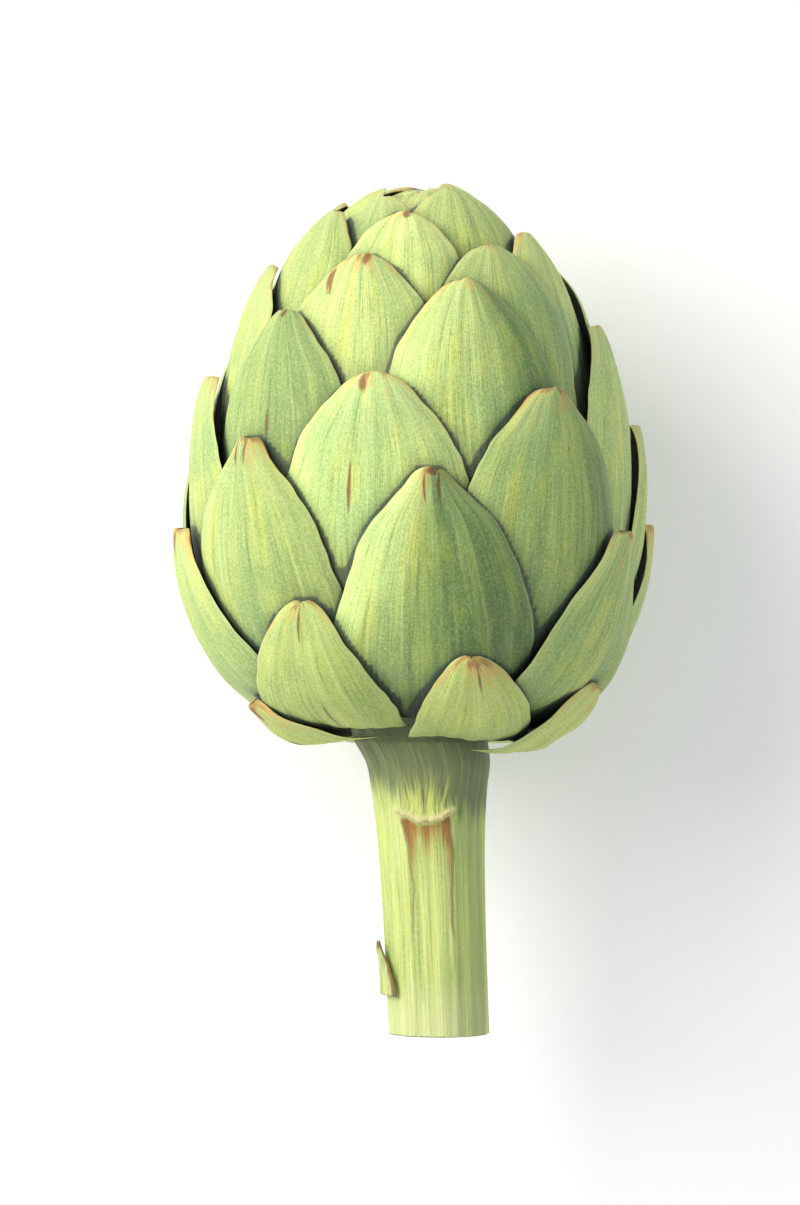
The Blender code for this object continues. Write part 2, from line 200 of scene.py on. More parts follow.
bractShape = {
    "rows": 92,  # points from root to tip, closer together towards the tip
    "columns": 53,  # points across, closer together towards the margins
    "crowding": 2.2,  # how much closer the rows are at the tip
    "bluntness": 0.72,  # width of the tip before rounding, as a share of the solid's last row but one
    "raggedness": 0.36,  # mm by which the margins wander
    "ribs": 0.13,  # mm height of the lengthwise ribs
    "dents": 0.3,  # mm depth of the slow unevenness of the face
    "keel": 0.12,  # mm height of the middle rib
    "marginCrowding": 1.42,  # radians of the sine that spaces the columns
    "squareness": 14,  # exponent of the thickness across: higher keeps it full nearer to the margin
    "leastHalfWidth": 0.12,  # mm, at the tip
    "nearestAxis": 5.0,  # mm: margins are measured on a circle no smaller than this
    "coverFade": 2.6,  # mm over which the painted shade beside an overlying bract fades
    "rimWidth": 0.7,  # mm over which the pale margin fades
    "paintedLightPlaces": (-0.8, -0.1, 0.7),  # where each bract's painted light and shade apply, from -1 at the left margin to 1 at the right
    "plainPaintedLight": (1.06, 1, 0.88),  # painted light and shade of the bracts that the table below leaves out: a little lighter on the left, darker on the right
    "rootShadeColour": (106, 132, 78),
}
markCount = 3  # the most marks that a bract may have
patternLength = 40.0  # mm along a leaf or the stem that one unit of its pattern covers

# Brown marks on single bracts, in mm: how far across from the middle, start and end from the tip, half
# width, and for a pair of marks how far each stands to its side.
bractMarks = {
    "lower_bract_2": [(0.2, 0.5, 7.5, 0.45, 1.5), (0.1, 0.2, 1.8, 1.7, 0), (2.0, 34, 52, 0.9, 0.8)],
    "basal_bract_2": [(0.3, 0.3, 7.0, 0.45, 0), (2.0, 19, 27, 0.55, 0)],
    "basal_bract_3": [(0.8, 0.3, 9.0, 0.4, 0)],
    "outer_bract_2": [(0.0, 0.4, 6.0, 0.5, 1.3)],
    "outer_bract_3": [(-1.5, 0.4, 4.5, 1.2, 0), (-4.0, 16, 30, 0.5, 0)],
    "middle_bract_2": [(0.6, 16, 29, 0.55, 0), (1.0, 0.4, 2.2, 0.8, 0)],
    "upper_bract_2": [(-6.0, 2.5, 9.0, 0.7, 0.4), (1.5, 0.4, 3.5, 1.3, 0)],
    "inner_bract_3": [(0.3, 0.3, 3.0, 1.1, 0)],
    "lower_bract_1": [(0.0, 0.3, 5.0, 0.8, 1.2)],
    "basal_bract_1": [(0.0, 0.3, 4.0, 0.7, 1.0), (1.0, 9, 13, 0.7, 0)],
    "middle_bract_3": [(2.0, 24, 36, 0.35, 0)],
    "outer_bract_4": [(3.0, 8, 20, 0.3, 0)],
}

# Leaf colour of each row, as screen values, how brown its tips are, how much painted shade darkens it
# towards its root where outer bracts cover it, over how many mm the tip's corners are rounded off, and how
# many mm the tip curls in.
rowLooks = {
    "basal_bract": {"colour": (200, 219, 116), "browning": 0.55, "dark": 0.3, "rounding": 1.6, "curl": 1.2},
    "lower_bract": {"colour": (171, 199, 118), "browning": 0.5, "dark": 0.62, "rounding": 1.3, "curl": 1.2},
    "outer_bract": {"colour": (176, 203, 120), "browning": 0.5, "dark": 0.6, "rounding": 1.3, "curl": 1.2},
    "middle_bract": {"colour": (180, 207, 122), "browning": 0.4, "dark": 0.55, "rounding": 1.5, "curl": 1.4},
    "upper_bract": {"colour": (190, 213, 126), "browning": 0.45, "dark": 0.5, "rounding": 1.8, "curl": 1.8},
    "inner_bract": {"colour": (194, 215, 126), "browning": 0.4, "dark": 0.5, "rounding": 2.2, "curl": 2.4},
    "crown_bract": {"colour": (202, 219, 128), "browning": 0.5, "dark": 0.4, "rounding": 2.6, "curl": 3.0},
}

# How much lighter or darker than its row a bract is: near its left margin, at its middle, near its right
# margin. This is painted light and shade, lighter on the left and darker on the right as the light falls,
# and partly each bract's own lighter or darker colour.
bractPaintedLight = {
    "basal_bract_1": (1.1, 1.1, 1.0),
    "basal_bract_2": (1.08, 0.98, 0.85),
    "basal_bract_3": (1.05, 1.05, 0.95),
    "basal_bract_4": (1.1, 1.05, 1.0),
    "lower_bract_1": (1.5, 1.4, 1.2),
    "lower_bract_2": (1.9, 0.52, 0.4),
    "lower_bract_3": (0.9, 0.9, 0.72),
    "outer_bract_1": (1.25, 1.2, 1.15),
    "outer_bract_2": (1.3, 1.05, 0.8),
    "outer_bract_3": (1.9, 1.6, 1.15),
    "outer_bract_4": (1.0, 0.76, 0.4),
    "middle_bract_2": (0.95, 0.78, 0.62),
    "middle_bract_3": (1.6, 1.2, 0.36),
    "upper_bract_1": (1.15, 1.1, 1.0),
    "upper_bract_2": (1.3, 1.15, 0.85),
    "upper_bract_3": (1.05, 0.88, 0.66),
    "upper_bract_4": (1.1, 1.0, 1.0),
    "inner_bract_3": (1.5, 1.5, 1.1),
    "inner_bract_4": (1.0, 0.9, 0.8),
}


def linear(colour):
    # screen values 0 to 255 as linear light
    return (np.array(colour, float) / 255) ** 2.2


def rowsAndColumns(along, aside, out, rowGap=1.2):
    # The grid that a leaf's solid was made from: its rows share one distance along and are more than
    # rowGap mm apart, its columns are even steps aside within a row, and each place has a point on the
    # inner face and one on the outer.
    order = np.argsort(along)
    row = np.zeros(len(along), int)
    row[order] = np.concatenate([[0], np.cumsum(np.diff(along[order]) > rowGap)])
    rows = row.max() + 1
    columns = round(len(along) / rows / 2)
    low, high = np.full(rows, np.inf), np.full(rows, -np.inf)
    np.minimum.at(low, row, aside)
    np.maximum.at(high, row, aside)
    column = np.round((aside - low[row]) / (high - low)[row] * (columns - 1)).astype(int)
    inner, outer = np.full((rows, columns), np.inf), np.full((rows, columns), -np.inf)
    np.minimum.at(inner, (row, column), out)
    np.maximum.at(outer, (row, column), out)
    return np.bincount(row, along) / np.bincount(row), low, high, inner, outer


def baseRadius(along, inner):
    # mm from the head's axis to the middle of the leaf's inner face, at each distance along the outline
    radius = onCore("radius", along) + inner[:, inner.shape[1] // 2] * onCore("outR", along)
    return np.maximum(radius, bractShape["nearestAxis"])


def bractGrid(node):
    # The bract's grid, measured along the core's outline and round its axis.
    along, azimuth, out = located(standing(solidPoints(node)))
    middle = math.atan2(np.sin(azimuth).mean(), np.cos(azimuth).mean())
    rowAlong, low, high, inner, outer = rowsAndColumns(along, wrapped(azimuth - middle), out)
    halfWidth = (high - low) / 2 * baseRadius(rowAlong, inner)
    axis = middle + (low + high) / 2
    return {"axis": axis, "along": rowAlong, "halfWidth": halfWidth, "inner": inner, "outer": outer}


def wander(draw, at, scale, waves=4):
    # a smooth random line from about -1 to 1: a few sines, each 1.6 times shorter and 1.3 times lower
    # than the last
    total = np.zeros_like(at)
    for wave in range(waves):
        total += np.sin(at / scale * (1.6**wave) * 2 * math.pi + draw.uniform(0, 6.283)) / (1.3**wave)
    return total / 2.2


def underCover(along, azimuth, radius, covers, farAway=60.0):
    # Distance in mm to the nearest outline of a bract that lies over this one, negative underneath it:
    # the distance beyond its margin beside it, beyond its tip ahead of it, and to the corner of both past
    # its tip.
    nearest = np.full(along.shape, farAway)
    for cover in covers:
        half = np.interp(along, cover["along"], cover["halfWidth"])
        axis = np.interp(along, cover["along"], cover["axis"])
        aside = np.abs(wrapped(azimuth - axis)) * radius - half
        beyond = along - cover["along"][-1]
        pastTip = np.hypot(np.maximum(aside, 0), np.maximum(beyond, 0))
        distance = np.where(beyond > 0, pastTip, np.maximum(aside, beyond))
        nearest = np.minimum(nearest, distance)
    return nearest


def fineBract(node, grid, covers, look, seed):
    # The leaf is laid out in (along, azimuth, out). Its half width follows the solid's, times the square
    # root of 1 minus e to the power minus t over the rounding at a distance t from the tip, and its
    # margins wander. Its two faces stand half a thickness each side of the middle surface, times the
    # square root of 1 minus |v| to the power squareness, where v runs from -1 to 1 across. Ribs, dents
    # and a keel stand on the outer face.
    draw = np.random.default_rng(seed)
    rows, columns, crowding = bractShape["rows"], bractShape["columns"], bractShape["crowding"]
    length = grid["along"][-1] - grid["along"][0]
    fromTip = (length * np.expm1(crowding * np.linspace(1, 0, rows)) / math.expm1(crowding))[:, None]
    lastTurn = bractShape["marginCrowding"]
    v = (np.sin(np.linspace(-lastTurn, lastTurn, columns)) / math.sin(lastTurn))[None, :]
    v[0, 0], v[0, -1] = -1, 1
    along = grid["along"][-1] - fromTip[:, 0]
    controls = np.linspace(-1, 1, grid["inner"].shape[1])
    inner = splined(splined(grid["inner"].T, controls, v[0]).T, grid["along"], along)
    outer = splined(splined(grid["outer"].T, controls, v[0]).T, grid["along"], along)
    halfWidth = np.append(grid["halfWidth"][:-1], bractShape["bluntness"] * grid["halfWidth"][-2])
    half = splined(halfWidth, grid["along"], along)[:, None]
    half = np.maximum(half * np.sqrt(-np.expm1(-fromTip / look["rounding"])), bractShape["leastHalfWidth"])

    radius = baseRadius(along, inner)[:, None]
    ragged = bractShape["raggedness"] * np.where(v > 0, wander(draw, fromTip, 17), wander(draw, fromTip, 19))
    width = half + ragged * np.minimum(fromTip / 6, 1) * np.abs(v) ** 3
    azimuth = np.interp(along, grid["along"], grid["axis"])[:, None] + v * width / radius
    across = v * half
    notchAt = draw.uniform(-1.4, 1.4)  # mm across, of the small nick in the tip
    notch = draw.uniform(0.3, 0.8) * np.exp(-((across - notchAt) / 0.8) ** 2) * np.exp(-fromTip / 1.8)
    alongGrid = along[:, None] - notch

    middle, halfThickness = (inner + outer) / 2, (outer - inner) / 2
    ends = np.sqrt(-np.expm1(-fromTip / 0.3)) * np.sqrt(-np.expm1(-(length - fromTip) / 0.3))
    edge = np.sqrt(1 - np.abs(v) ** bractShape["squareness"]) * ends
    curl = look["curl"] * np.exp(-fromTip / (2.5 + look["curl"]))
    ribCount = draw.uniform(5.5, 7.5)
    ribs = np.cos(v * ribCount * math.pi + 0.5 * wander(draw, fromTip, 60)) * (1 - v**2)
    dents = wander(draw, fromTip + 6 * v, 34) * wander(draw, across + 9, 26) * (1 - v**2)
    keel = np.exp(-((v - 0.05) / 0.12) ** 2) * eased(fromTip, 0, 14)
    relief = bractShape["ribs"] * ribs + bractShape["dents"] * dents + bractShape["keel"] * keel
    outerOut = middle - curl + (halfThickness + relief * eased(fromTip, 0.5, 5)) * edge
    innerOut = middle - curl - halfThickness * edge

    points = bothFaces(placed(alongGrid, azimuth, outerOut), placed(alongGrid, azimuth, innerOut))
    piece = newPiece("leaf_" + node, lying(points), closedLeaf(rows, columns))
    distance = underCover(alongGrid, azimuth, radius, covers)
    markFaces(piece, v, half, fromTip, distance, seed)
    tintBract(piece, node, v, fromTip, look, draw)
    marks = bractMarks.get(node, [])
    for number in range(markCount):
        shown = number < len(marks)
        place3 = markPlace(marks[number], across, fromTip) if shown else np.zeros((rows, columns, 3))
        setAttribute(piece, f"mark{number + 1}", bothFaces(place3, place3 * [1, 1, 0]))
    return piece


def markFaces(piece, v, half, fromTip, distance, seed):
    # Painted shade beside the overlying bracts and paleness near the margin, each falling by e to the power
    # minus the distance over its width, then the inner face, which takes the full painted shade, and each
    # point's place in the leaf's own pattern.
    blank = np.zeros_like(distance)
    cover = np.exp(-np.maximum(distance, 0) / bractShape["coverFade"])
    nearEdge = (1 - np.abs(v)) * half + blank
    rim = np.exp(-np.minimum(nearEdge, fromTip + 0.4) / bractShape["rimWidth"])
    setAttribute(piece, "cover", bothFaces(cover, blank + 1))
    setAttribute(piece, "rim", bothFaces(rim, rim))
    setAttribute(piece, "inside", bothFaces(blank, blank + 1 - rim))
    place3 = np.stack([v + blank, fromTip / patternLength + blank, blank + seed * 3.7], axis=-1)
    setAttribute(piece, "leafPlace", bothFaces(place3, place3))


def tintBract(piece, node, v, fromTip, look, draw):
    # The leaf's base colour, with painted shade darkening it towards its root where outer bracts cover it,
    # and its painted light and shade. The root of the bract's painted light and shade, up to 1.1, acts on
    # all the colours of the leaf through the shading, and the rest of it acts on the base colour.
    # painted shade: darker towards the root, where the outer bracts cover it
    rootShade = (eased(fromTip, 12, 52) * look["dark"])[..., None]
    colour = linear(look["colour"]) * draw.uniform(0.95, 1.05)
    # painted light and shade across the bract, lighter on the left and darker on the right, partly its own
    # lighter or darker colour
    paintedLight = np.interp(v, bractShape["paintedLightPlaces"], bractPaintedLight.get(node, bractShape["plainPaintedLight"]))
    shade = np.minimum(paintedLight**0.5, 1.1)
    tint = (colour * (1 - rootShade) + linear(bractShape["rootShadeColour"]) * rootShade) * (paintedLight / shade)[..., None]
    shading = np.stack([shade**1.35, shade**0.95, shade**1.1], axis=-1) + np.zeros_like(tint)
    setAttribute(piece, "tint", bothFaces(tint, tint))
    setAttribute(piece, "shading", bothFaces(shading, shading))
    brown = np.full(tint.shape[:2], look["browning"] * draw.uniform(0.5, 1.3))
    setAttribute(piece, "browning", bothFaces(brown, brown))


def markPlace(mark, across, fromTip):
    # Where each point lies on a slightly bent brown mark: how many half widths aside of it, how far along
    # it from -1 to 1, and 1, which says that there is a mark.
    offset, start, end, halfWidth, twin = mark
    bend = 0.5 * np.sin((fromTip - start) / (end - start + 1) * 3) * min(1, (end - start) / 8)
    aside = (np.abs(across - offset + bend) - twin) / halfWidth
    lengthwise = (fromTip - (start + end) / 2) / ((end - start) / 2) + 0 * aside
    return np.stack([aside, lengthwise, np.ones_like(aside)], axis=-1)


class Flow:
    # A socket that can be used in sums: each operator adds its Math node.
    def __init__(self, skin, socket):
        self.skin, self.socket = skin, socket

    def __add__(self, other):
        return self.skin.math("ADD", self, other)

    __radd__ = __add__

    def __sub__(self, other):
        return self.skin.math("SUBTRACT", self, other)

    def __rsub__(self, other):
        return self.skin.math("SUBTRACT", other, self)

    def __mul__(self, other):
        return self.skin.math("MULTIPLY", self, other)

    __rmul__ = __mul__


class Skin:
    # A material under construction.
    def __init__(self, name, constants):
        self.material = bpy.data.materials.new(name)
        self.material.use_nodes = True
        self.tree = self.material.node_tree
        self.shader = self.tree.nodes["Principled BSDF"]
        for socket, value in constants.items():
            self.shader.inputs[socket].default_value = value

    def node(self, kind, settings=None, sockets=None, output=0):
        # any node, from its type, its settings, and the values or links of its sockets
        made = self.tree.nodes.new(kind)
        for setting, value in (settings or {}).items():
            setattr(made, setting, value)
        for socket, value in (sockets or {}).items():
            self.feed(made.inputs[socket], value)
        return Flow(self, made.outputs[output])

    def feed(self, socket, value):
        if isinstance(value, Flow):
            self.tree.links.new(value.socket, socket)
        else:
            socket.default_value = value

    def math(self, operation, *values):
        return self.node("ShaderNodeMath", {"operation": operation}, dict(enumerate(values)))

    def attribute(self, name, output="Fac"):
        return self.node("ShaderNodeAttribute", {"attribute_name": name}, output=output)

    def parts(self, vector):
        # the three numbers of a vector
        split = self.node("ShaderNodeSeparateXYZ", None, {0: vector}).socket.node
        return [Flow(self, split.outputs[axis]) for axis in "XYZ"]

    def noise(self, place, scale, detail, stretch=(1, 1, 1), roughness=0.5):
        spread = self.node("ShaderNodeVectorMath", {"operation": "MULTIPLY"}, {0: place, 1: stretch})
        return self.node("ShaderNodeTexNoise", None,
                         {"Vector": spread, "Scale": scale, "Detail": detail, "Roughness": roughness})

    def rise(self, value, low, high):
        # an s-curve from 0 at low to 1 at high
        return self.node("ShaderNodeMapRange", {"interpolation_type": "SMOOTHSTEP"},
                         {"Value": value, "From Min": low, "From Max": high})

    def mix(self, share, first, second):
        # from the first colour to the second; a colour is another node's or three screen values
        ends = [value if isinstance(value, Flow) else (*linear(value), 1) for value in (first, second)]
        sockets = {0: share, 6: ends[0], 7: ends[1]}
        return self.node("ShaderNodeMix", {"data_type": "RGBA"}, sockets, output=2)

    def bump(self, height, distance, strength):
        sockets = {"Height": height, "Distance": distance, "Strength": strength}
        return self.node("ShaderNodeBump", None, sockets)

    def finish(self, **sockets):
        # feeds the shader's own sockets, with _ for a space in their names, and gives the material
        for socket, value in sockets.items():
            self.feed(self.shader.inputs[socket.replace("_", " ")], value)
        return self.material


leafColours = {
    "yellowGreen": (226, 238, 126),
    "blueGreen": (124, 172, 110),
    "yellow": (222, 228, 96),
    "lightFibre": (236, 243, 158),
    "darkFibre": (112, 144, 74),
    "hair": (106, 130, 74),
    "lightGrain": (238, 243, 176),
    "darkGrain": (112, 142, 84),
    "tipHighlight": (214, 230, 160),
    "warmTip": (226, 190, 108),
    "scar": (158, 96, 62),
    "margin": (226, 232, 158),
    "warmMargin": (224, 186, 106),
    "brownMargin": (146, 104, 68),
    "mark": (140, 84, 56),
    "shadedInnerFace": (156, 168, 128),
    "shade": (84, 108, 72),
    "creviceShade": (58, 70, 74),
}


def leafSkin(name):
    # Waxy leaf: fibres run from root to tip, patches of yellow and blue-green, tan margins, brown scars
    # at the tip.
    paint = leafColours
    skin = Skin(name, {"Specular IOR Level": 0.35})
    place3 = skin.attribute("leafPlace", "Vector")
    fromTip = skin.parts(place3)[1] * patternLength
    tint = skin.attribute("tint", "Color")
    cover, rim, inside = skin.attribute("cover"), skin.attribute("rim"), skin.attribute("inside")
    object3 = skin.node("ShaderNodeTexCoord", output="Object")

    broad = skin.noise(place3, 1.0, 3, (5.5, 0.9, 1))
    fibres = skin.noise(place3, 1.0, 4, (24, 2.2, 1), 0.6)
    hairs = skin.noise(place3, 1.0, 3, (75, 5.0, 1), 0.6)
    patches = skin.noise(object3, 42, 3)
    blotches = skin.noise(place3, 1.0, 3, (3.5, 2.4, 1))
    grain = skin.noise(object3, 2100, 2)

    colour = skin.mix(skin.rise(broad, 0.45, 0.7) * 0.5, tint, paint["yellowGreen"])
    colour = skin.mix(skin.rise(patches, 0.46, 0.66) * 0.45, colour, paint["blueGreen"])
    colour = skin.mix(skin.rise(blotches, 0.5, 0.68) * 0.45, colour, paint["yellow"])
    colour = skin.mix(skin.rise(fibres, 0.5, 0.78) * 0.5, colour, paint["lightFibre"])
    colour = skin.mix(skin.rise(fibres, 0.46, 0.28) * 0.6, colour, paint["darkFibre"])
    colour = skin.mix(skin.rise(hairs, 0.52, 0.7) * 0.45, colour, paint["hair"])
    colour = skin.mix(skin.rise(grain, 0.45, 0.75) * 0.35, colour, paint["lightGrain"])
    colour = skin.mix(skin.rise(grain, 0.5, 0.3) * 0.3, colour, paint["darkGrain"])
    # painted highlight, lighter towards the tip
    light = skin.rise(fromTip, 16, 1) * skin.rise(broad, 0.35, 0.6) * 0.4
    colour = skin.mix(light, colour, paint["tipHighlight"])

    stain = skin.noise(place3, 1.0, 3, (3.2, 6.0, 1), 0.6)
    browning = skin.attribute("browning")
    warm = skin.rise(stain + browning * 0.28 - fromTip * 0.035, 0.5, 0.72)
    colour = skin.mix(warm * 0.75, colour, paint["warmTip"])
    scar = skin.rise(stain + fibres * 0.35 + browning * 0.3 - fromTip * 0.13, 0.68, 0.82)
    colour = skin.mix(scar * 0.85, colour, paint["scar"])

    nearTip = skin.rise(fromTip - stain * 10, 8, -2)
    colour = skin.mix(rim * 0.45, colour, paint["margin"])
    colour = skin.mix(rim * nearTip * skin.rise(stain, 0.35, 0.6) * 0.8, colour, paint["warmMargin"])
    brownRim = skin.rise(rim, 0.6, 0.95) * skin.rise(stain, 0.52, 0.68) * (nearTip * 0.8 + 0.06)
    colour = skin.mix(brownRim, colour, paint["brownMargin"])
    for number in range(markCount):
        aside, lengthwise, shown = skin.parts(skin.attribute(f"mark{number + 1}", "Vector"))
        taper = lengthwise * lengthwise * 0.75
        mark = skin.rise(skin.math("ABSOLUTE", aside) + taper + stain * 1.2 - fibres * 0.5, 1.45, 0.7)
        colour = skin.mix(mark * shown * 0.85, colour, paint["mark"])

    # the painted light and shade of each bract, lighter on its left and darker on its right, laid over the
    # colour
    toned = skin.node("ShaderNodeVectorMath", {"operation": "MULTIPLY"},
                      {0: colour, 1: skin.attribute("shading", "Vector")})
    # the inner face: its own paler green, greyed and darkened as painted shade
    colour = skin.mix(inside * 0.8, toned, paint["shadedInnerFace"])
    # painted shade beside and under the overlying bracts and over the inner face, and a dark painted shade
    # line in the gaps at their margins
    colour = skin.mix(skin.rise(cover, 0.1, 1.0) * 0.4, colour, paint["shade"])
    colour = skin.mix(skin.rise(cover, 0.8, 0.97) * 0.75, colour, paint["creviceShade"])
    normal = skin.bump(fibres * 0.7 + hairs * 0.35 + grain * 0.05, 0.0007, 0.55)
    return skin.finish(Base_Color=colour, Roughness=0.42 + fibres * 0.25, Normal=normal)


bractNames = sorted(name for name in nodes if "bract" in name)
grids = {name: bractGrid(name) for name in bractNames}
leafFinish = leafSkin("waxyLeaf")
for seed, name in enumerate(bractNames):
    grid = grids[name]
    tip = grid["along"][-1]
    covers = [other for other in grids.values() if other["along"][-1] < tip]  # outer leaves have lower tips
    row = name.rsplit("_", 1)[0]
    leaf = fineBract(name, grid, covers, rowLooks[row], seed + 1)
    leaf.data.materials.append(leafFinish)
    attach(leaf, "root")
    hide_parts(name)
print("bracts:", len(bractNames))


stemShape = {
    "around": 168,
    "sideRows": 230,
    "cutRings": (0.12, 0.3, 0.5, 0.68, 0.82, 0.92, 0.98),  # rings of the cut end, as shares of its radius
    "heartRings": 17,
    "lidRings": (0.9, 0.55),  # rings of the hidden top of the heart, as shares of its radius
    "lastRing": 1.5,  # mm above the foot of the head: the solid's rings above this belong to the heart
    "neck": 1.5,  # mm over which the stem and the heart run into each other
    "ribs": 0.22,  # mm height of the broad ribs
    "ribCounts": ((8, 0.9), (13, 0.7), (21, 0.5)),  # how many there are round the stem, and how strong
    "fibres": 0.09,  # mm height of the fine ones
    "fibreCounts": (34, 47, 62),
    "scarHeight": -16.0,  # of the leaf scar's ledge, above the foot of the head
    "scarHalfWidth": 6.4,
    "scarSide": 1.9,  # mm to the right of the head's axis
    "scarRise": 2.6,  # mm that the ledge's ends stand above its middle
    "ledge": 1.0,  # mm that the ledge stands out
    # edges of the strip below the ledge: mm to the right of the scar's middle, at heights above the ledge
    "leftLine": ([-34, -26, -15, -6, 0], [-2.2, -2.7, -2.4, -3.9, -5.3]),
    "rightLine": ([-34, -15, 0], [6.3, 5.8, 5.4]),
}


def turnedFaces(rows, around):
    # quads of a surface turned about an axis, with a pole point at each end: first the ends, then the
    # rows
    ring = 2 + np.arange(rows * around).reshape(rows, around)
    after = np.roll(ring, -1, axis=1)
    quads = np.stack([ring[:-1], after[:-1], after[1:], ring[1:]], axis=-1).reshape(-1, 4).tolist()
    first = np.stack([np.zeros(around, int), after[0], ring[0]], axis=-1).tolist()
    last = np.stack([np.ones(around, int), ring[-1], after[-1]], axis=-1).tolist()
    return first + quads + last


def turned(centre, radius, azimuth, height):
    # points at a radius and an azimuth about an upright axis, which stands aside by centre
    front = radius * np.cos(azimuth)
    return np.stack([centre + radius * np.sin(azimuth), front, height + 0 * front], axis=-1)


def stemLevels(points):
    # Height, sideways place and radius of each ring of the stem's solid, from the cut up to the foot of
    # the head.
    level = np.round(points[:, 2], 1)
    rows = []
    for height in np.unique(level[level < stemShape["lastRing"]]):
        ring = points[level == height]
        if len(ring) > 8:  # a ring, not a pole or a stray point
            centre = (ring[:, 0].min() + ring[:, 0].max()) / 2
            rows.append((height, centre, np.hypot(ring[:, 0] - centre, ring[:, 1]).mean()))
    return np.array(rows).T


def joined(heart, stem):
    # the larger of two radii, rounded where they meet: the logarithm of the sum of their powers of e
    return np.logaddexp(heart / stemShape["neck"], stem / stemShape["neck"]) * stemShape["neck"]


def leafScar(side, up, frontal, draw):
    # The ledge's height is a parabola across. Its lip falls off as e to the power minus the distance
    # squared, faster below. The strip below it lies between the left and the right line.
    half = stemShape["scarHalfWidth"]
    ledgeHeight = stemShape["scarHeight"] + stemShape["scarRise"] * (side / half) ** 2
    above = up - ledgeHeight - 0.25 * wander(draw, side, 7)
    lip = np.exp(-(np.maximum(above, 0) / 1.4) ** 2) * np.exp(-(np.minimum(above, 0) / 0.45) ** 2)
    lip = lip * eased(half + 0.8 - np.abs(side), 0, 1.6) * frontal
    pastLeft = side - np.interp(above, *stemShape["leftLine"]) - 0.35 * wander(draw, up, 30)
    pastRight = side - np.interp(above, *stemShape["rightLine"]) - 0.3 * wander(draw, up, 26)
    strip = eased(np.minimum(pastLeft, -pastRight), -0.4, 0.5) * frontal
    return {"side": side, "above": above, "lip": lip, "strip": strip,
            "pastLeft": pastLeft, "pastRight": pastRight}


def fineStem():
    # The stem's radius follows the solid's, with ribs and finer fibres that are cosines of so many times
    # the azimuth, and the leaf scar at the front. Rings close the cut end, and the heart follows the
    # core's outline up to its lid.
    draw = np.random.default_rng(5)
    around = stemShape["around"]
    points = standing(solidPoints("stem_and_heart"))
    levels, centres, radii = stemLevels(points)
    bottom, topLevel, heartTop = levels[0], levels[-1], points[:, 2].max()
    height = np.linspace(bottom, topLevel, stemShape["sideRows"])
    up = height[:, None]
    centre, radius = splined(centres, levels, height)[:, None], splined(radii, levels, height)[:, None]
    azimuth = np.linspace(0, 2 * math.pi, around, endpoint=False)[None, :]
    ribs = sum(np.cos(count * azimuth + draw.uniform(0, 6.28) + 0.25 * wander(draw, up, 70)) * size
               for count, size in stemShape["ribCounts"])
    fibres = sum(np.cos(count * azimuth + draw.uniform(0, 6.28) + 0.4 * wander(draw, up, 45))
                 for count in stemShape["fibreCounts"]) / 1.8
    radius = joined(np.interp(up, core["height"], core["radius"], left=0), radius)
    out = radius + stemShape["ribs"] * ribs + stemShape["fibres"] * fibres
    scar = leafScar(centre + out * np.sin(azimuth) - stemShape["scarSide"], up, np.cos(azimuth) > 0.1, draw)
    hollow = scar["strip"] * eased(-scar["above"], 0, 1) * eased(scar["above"], -40, -30)
    out = out + stemShape["ledge"] * scar["lip"] + hollow * (0.25 - 0.35 * np.exp(scar["above"] / 12))
    sides = turned(centre, out, azimuth, up)

    shares = np.array(stemShape["cutRings"])[:, None]
    cutCentre = np.array([centre[0, 0], 0, bottom])
    cut = cutCentre + (sides[0] - cutCentre) * shares[..., None]
    cut[..., 2] = bottom + 0.15 * np.cos(azimuth * 2 + 1) * (1 - shares) + 0.2 * (shares > 0.9)
    sides[0, :, 2] += 0.35  # a slightly rounded rim

    heartUp = np.linspace(topLevel, heartTop - 1.0, stemShape["heartRings"] + 1)[1:, None]
    heartRadius = joined(np.interp(heartUp, core["height"], core["radius"]), out[-1:])
    heart = turned(centre[-1, 0] * (1 - eased(heartUp, topLevel - 1, 6)), heartRadius, azimuth, heartUp)
    lid = heart[-1] * np.array(stemShape["lidRings"])[:, None, None]
    lid[..., 2] = heartTop - 0.5
    rings = np.concatenate([cut, sides, heart, lid])
    poles = np.array([[centre[0, 0], 0, bottom + 0.2], [0, 0, heartTop - 0.8]])
    allPoints = lying(np.concatenate([poles, rings.reshape(-1, 3)]))
    piece = newPiece("stem", allPoints, turnedFaces(len(rings), around))
    markStem(piece, up, azimuth, bottom)
    markScar(piece, scar, azimuth)
    return piece


def overStem(piece, name, sides, cut=0, heart=0, ends=(0, 0)):
    # an attribute of one number, or three, from its values on the sides, the cut's rings, the heart's and
    # the poles
    around, numbers = stemShape["around"], sides.shape[2:]
    heartRows = stemShape["heartRings"] + len(stemShape["lidRings"])
    cutValues = np.broadcast_to(cut, (len(stemShape["cutRings"]), around) + numbers)
    heartValues = np.broadcast_to(heart, (heartRows, around) + numbers)
    rows = np.concatenate([cutValues, sides, heartValues]).reshape((-1,) + numbers)
    poles = np.stack([np.broadcast_to(end, numbers) for end in ends])
    setAttribute(piece, name, np.concatenate([poles, rows]))


